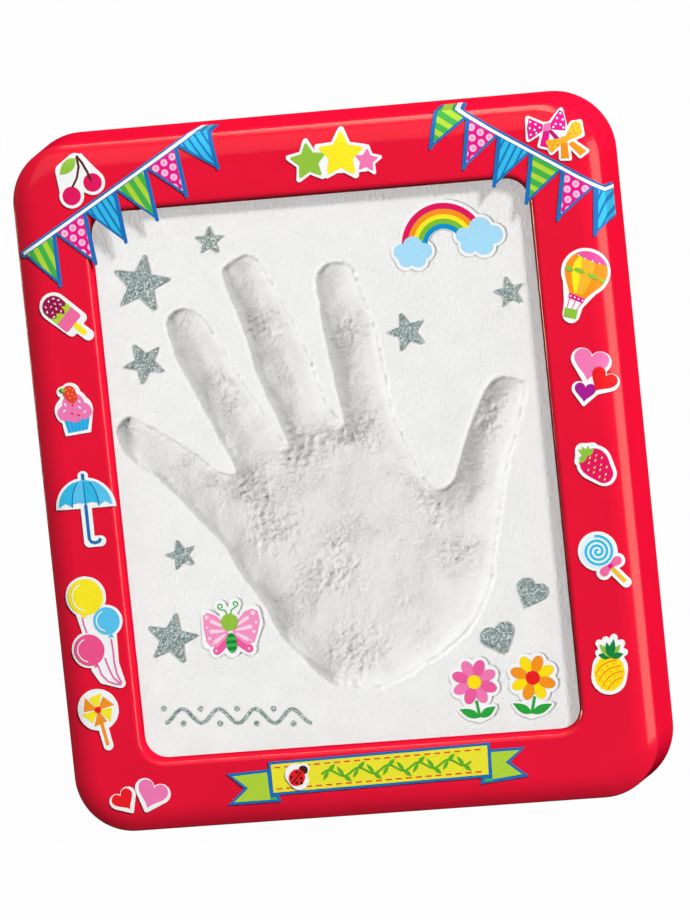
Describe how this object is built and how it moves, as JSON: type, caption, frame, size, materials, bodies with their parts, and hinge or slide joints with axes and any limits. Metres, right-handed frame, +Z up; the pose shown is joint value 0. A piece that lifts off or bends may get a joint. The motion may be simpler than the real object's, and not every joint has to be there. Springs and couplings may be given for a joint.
{
  "type": "handprint picture frame",
  "caption": "Moulded plastic picture frame holding a cast plaster handprint tablet, with stickers on the face, a folding easel leg and keyhole hangers behind",
  "frame": {"origin": "Centre of the flat on which the frame's bottom rim stands", "axes": "X to the viewer's right, Y from front to back, Z up; the face looks to -Y and leans back 16 degrees"},
  "size_m": [0.16, 0.0731, 0.1839],
  "materials": {
    "frame_red": "glossy injection moulding",
    "leg_red": "satin injection moulding",
    "plaster": "cast plaster, matt and slightly crumbly in the print",
    "tray_white": "vacuum-formed sheet",
    "panel_white": "fine spark texture",
    "button_white": "satin",
    "rubber": "soft, matt",
    "steel": "zinc plated",
    "sticker_vinyl": "white vinyl film with printed motifs",
    "glitter_film": "silver glitter film"
  },
  "bodies": {
    "frame": {"back_panel": "panel_white", "casting_tray": "tray_white", "front_frame": "frame_red", "glitter_heart_1": "glitter_film", "glitter_heart_2": "glitter_film", "glitter_star_1": "glitter_film", "glitter_star_2": "glitter_film", "glitter_star_3": "glitter_film", "glitter_star_4": "glitter_film", "glitter_star_5": "glitter_film", "glitter_star_6": "glitter_film", "glitter_star_7": "glitter_film", "hinge_pin": "steel", "pivot_screws": "steel", "plaster_tablet": "plaster", "sticker_balloons": "sticker_vinyl", "sticker_banner": "sticker_vinyl", "sticker_bows": "sticker_vinyl", "sticker_bunting_left": "sticker_vinyl", "sticker_bunting_right": "sticker_vinyl", "sticker_butterfly": "sticker_vinyl", "sticker_cherries": "sticker_vinyl", "sticker_cupcake": "sticker_vinyl", "sticker_heart_pair": "sticker_vinyl", "sticker_heart_trio": "sticker_vinyl", "sticker_hot_air_balloon": "sticker_vinyl", "sticker_ice_lolly": "sticker_vinyl", "sticker_ladybird": "sticker_vinyl", "sticker_lollipop": "sticker_vinyl", "sticker_pineapple": "sticker_vinyl", "sticker_pink_flower": "sticker_vinyl", "sticker_pinwheel": "sticker_vinyl", "sticker_rainbow": "sticker_vinyl", "sticker_star_trio": "sticker_vinyl", "sticker_strawberry": "sticker_vinyl", "sticker_umbrella": "sticker_vinyl", "sticker_yellow_flower": "sticker_vinyl"},
    "easel_leg": {"easel_leg": "leg_red", "leg_foot_pad": "rubber"},
    "turn_button_lower_left": {"turn_button_lower_left": "button_white"},
    "turn_button_lower_right": {"turn_button_lower_right": "button_white"},
    "turn_button_upper_left": {"turn_button_upper_left": "button_white"},
    "turn_button_upper_right": {"turn_button_upper_right": "button_white"}
  },
  "joints": [
    {"name": "leg_hinge", "type": "hinge", "parent": "frame", "child": "easel_leg", "pos_m": [0, 0.03758, 0.12111], "axis": [1, 0, 0], "range_deg": [-21, 0]},
    {"name": "turn_button_upper_left_pivot", "type": "hinge", "parent": "frame", "child": "turn_button_upper_left", "pos_m": [-0.0716, 0.03744, 0.1326], "axis": [0, -0.9613, 0.2756], "range_deg": [-90, 90]},
    {"name": "turn_button_lower_left_pivot", "type": "hinge", "parent": "frame", "child": "turn_button_lower_left", "pos_m": [-0.0716, 0.01263, 0.04608], "axis": [0, -0.9613, 0.2756], "range_deg": [-90, 90]},
    {"name": "turn_button_upper_right_pivot", "type": "hinge", "parent": "frame", "child": "turn_button_upper_right", "pos_m": [0.0716, 0.03744, 0.1326], "axis": [0, -0.9613, 0.2756], "range_deg": [-90, 90]},
    {"name": "turn_button_lower_right_pivot", "type": "hinge", "parent": "frame", "child": "turn_button_lower_right", "pos_m": [0.0716, 0.01263, 0.04608], "axis": [0, -0.9613, 0.2756], "range_deg": [-90, 90]}
  ]
}
